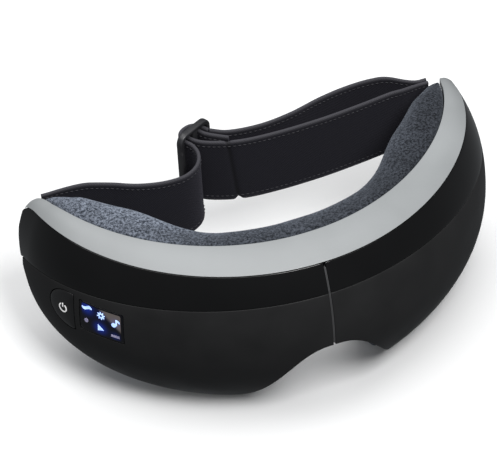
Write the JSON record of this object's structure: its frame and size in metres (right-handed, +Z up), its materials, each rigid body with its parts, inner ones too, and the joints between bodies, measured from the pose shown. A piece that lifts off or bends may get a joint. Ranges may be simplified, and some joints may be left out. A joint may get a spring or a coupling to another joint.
{
  "type": "eye massager mask",
  "caption": "Curved folding eye massager mask with a soft rim, velvet face cushion, display and button on one temple, and an adjustable webbing head strap.",
  "frame": {"origin": "middle of the object's outer box, on the surface that the cheek lobes stand on", "axes": "+Z up through the forehead rim, +X towards the temple without the display, the front faces -Y and the face goes in from +Y"},
  "size_m": [0.2, 0.113, 0.0803],
  "materials": {
    "matte_shell": "fine matte black moulded plastic",
    "gloss_band": "polished black plastic",
    "soft_rim": "satin light grey soft rubber",
    "velvet": "heather blue-grey velvet",
    "webbing": "black woven elastic webbing",
    "frame_plastic": "moulded black plastic",
    "air_film": "translucent welded film",
    "heater_film": "amber film with copper tracks",
    "steel": "brushed steel",
    "brass": "turned brass",
    "circuit_board": "green solder mask",
    "cell_wrap": "foil pouch",
    "display_glass": null
  },
  "bodies": {
    "half_right": {"front_shell_right": "matte_shell", "gloss_band_right": "gloss_band", "soft_rim_right": "soft_rim", "face_cushion_right": "velvet", "inner_frame_right": "frame_plastic", "heater_film_right": "heater_film", "air_cell_right": "air_film", "hinge_leaf_right": "steel", "leaf_screw_right_1": "steel", "leaf_screw_right_2": "steel", "vibration_motor_right": "steel", "strap_anchor_right": "frame_plastic", "arm_cap_right": "frame_plastic", "battery_cell": "cell_wrap", "charging_port": "steel", "pump_body": "steel", "valve_body": "frame_plastic", "air_hose": "air_film", "strap_outer": "webbing", "strap_inner": "webbing"},
    "bridge": {"hinge_link": "steel", "hinge_pin_left": "steel", "hinge_pin_right": "steel", "fold_seal_left": "soft_rim", "fold_seal_right": "soft_rim", "bridge_hose": "air_film", "bridge_cable": "frame_plastic"},
    "half_left": {"front_shell_left": "matte_shell", "gloss_band_left": "gloss_band", "soft_rim_left": "soft_rim", "face_cushion_left": "velvet", "inner_frame_left": "frame_plastic", "heater_film_left": "heater_film", "air_cell_left": "air_film", "hinge_leaf_left": "steel", "leaf_screw_left_1": "steel", "leaf_screw_left_2": "steel", "vibration_motor_left": "steel", "strap_anchor_left": "frame_plastic", "arm_cap_left": "frame_plastic", "button_switch": "frame_plastic", "display_lens": "display_glass", "display_panel": "circuit_board", "control_board": "circuit_board", "speaker": "steel", "strap_left": "webbing"},
    "button": {"power_button": "matte_shell"},
    "slider": {"strap_slider": "frame_plastic"},
    "crank": {"pump_crank": "frame_plastic"},
    "plunger": {"valve_plunger": "brass"},
    "weight_left": {"motor_weight_left": "brass"},
    "weight_right": {"motor_weight_right": "brass"}
  },
  "joints": [
    {"name": "fold_right", "type": "hinge", "parent": "half_right", "child": "bridge", "pos_m": [0.0045, -0.04692, 0.0541], "axis": [0, 0, -1], "range_deg": [0, 20], "deforming": ["soft_rim_right", "face_cushion_right", "fold_seal_right", "strap_outer", "strap_inner", "bridge_hose", "bridge_cable"]},
    {"name": "fold_left", "type": "hinge", "parent": "bridge", "child": "half_left", "pos_m": [-0.0045, -0.04692, 0.0541], "axis": [0, 0, -1], "range_deg": [0, 20], "deforming": ["soft_rim_left", "face_cushion_left", "fold_seal_left", "strap_left"]},
    {"name": "button_press", "type": "slide", "parent": "half_left", "child": "button", "axis": [0.9121, 0.41, 0], "range_m": [0, 0.0008], "stiffness_N_per_m": 400},
    {"name": "slider_rock", "type": "hinge", "parent": "bridge", "child": "slider", "pos_m": [-0.017, 0.05048, 0.0566], "axis": [0, 0, 1], "range_deg": [-8, 8]},
    {"name": "crank_spin", "type": "hinge", "parent": "half_right", "child": "crank", "pos_m": [0.03441, -0.03303, 0.0536], "axis": [0.9148, 0.404, 0], "continuous": true},
    {"name": "valve_lift", "type": "slide", "parent": "half_right", "child": "plunger", "axis": [0, 0, 1], "range_m": [0, 0.002], "stiffness_N_per_m": 150},
    {"name": "weight_left_spin", "type": "hinge", "parent": "half_left", "child": "weight_left", "pos_m": [-0.08796, 0.01715, 0.0516], "axis": [0, 0, 1], "continuous": true},
    {"name": "weight_right_spin", "type": "hinge", "parent": "half_right", "child": "weight_right", "pos_m": [0.08796, 0.01715, 0.0516], "axis": [0, 0, 1], "continuous": true}
  ],
  "couplings": [
    {"joint": "fold_left", "follows": "fold_right", "ratio": 1}
  ]
}
